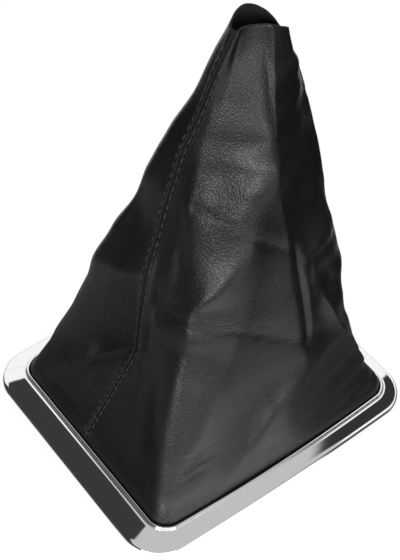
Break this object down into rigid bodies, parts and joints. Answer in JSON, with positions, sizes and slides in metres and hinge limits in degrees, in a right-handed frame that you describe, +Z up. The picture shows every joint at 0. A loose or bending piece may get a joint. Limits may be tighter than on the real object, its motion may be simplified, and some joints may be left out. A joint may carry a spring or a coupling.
{
  "type": "gear lever gaiter",
  "caption": "Black leatherette gear lever gaiter, a folded pyramid sleeve with one stitched seam, held in a chrome-plated rectangular bezel by a screwed retaining frame.",
  "frame": {"origin": "under the middle of the bezel's outer outline, level with the lowest edge of the retaining frame", "axes": "+X along the bezel's long side, +Y along its short side away from the front long side, +Z up towards the lever opening"},
  "size_m": [0.15, 0.1232, 0.2035],
  "materials": {
    "bezel_chrome": "mirror-bright chrome plating on moulded ABS",
    "leatherette": "black semi-gloss leatherette with a fine pebble grain",
    "frame_plastic": "matt black moulded ABS",
    "seam_thread": "black twisted polyester sewing thread",
    "fixing_steel": "zinc-plated steel"
  },
  "bodies": {
    "root": {"chrome_bezel": "bezel_chrome", "leather_sleeve": "leatherette", "retaining_frame": "frame_plastic", "stitch_row_left": "seam_thread", "stitch_row_right": "seam_thread", "frame_screw_1": "fixing_steel", "frame_screw_2": "fixing_steel", "frame_screw_3": "fixing_steel", "frame_screw_4": "fixing_steel", "frame_screw_5": "fixing_steel", "frame_screw_6": "fixing_steel", "frame_screw_7": "fixing_steel", "frame_screw_8": "fixing_steel", "spring_clip_1": "fixing_steel", "spring_clip_2": "fixing_steel", "spring_clip_3": "fixing_steel", "spring_clip_4": "fixing_steel"}
  },
  "joints": []
}
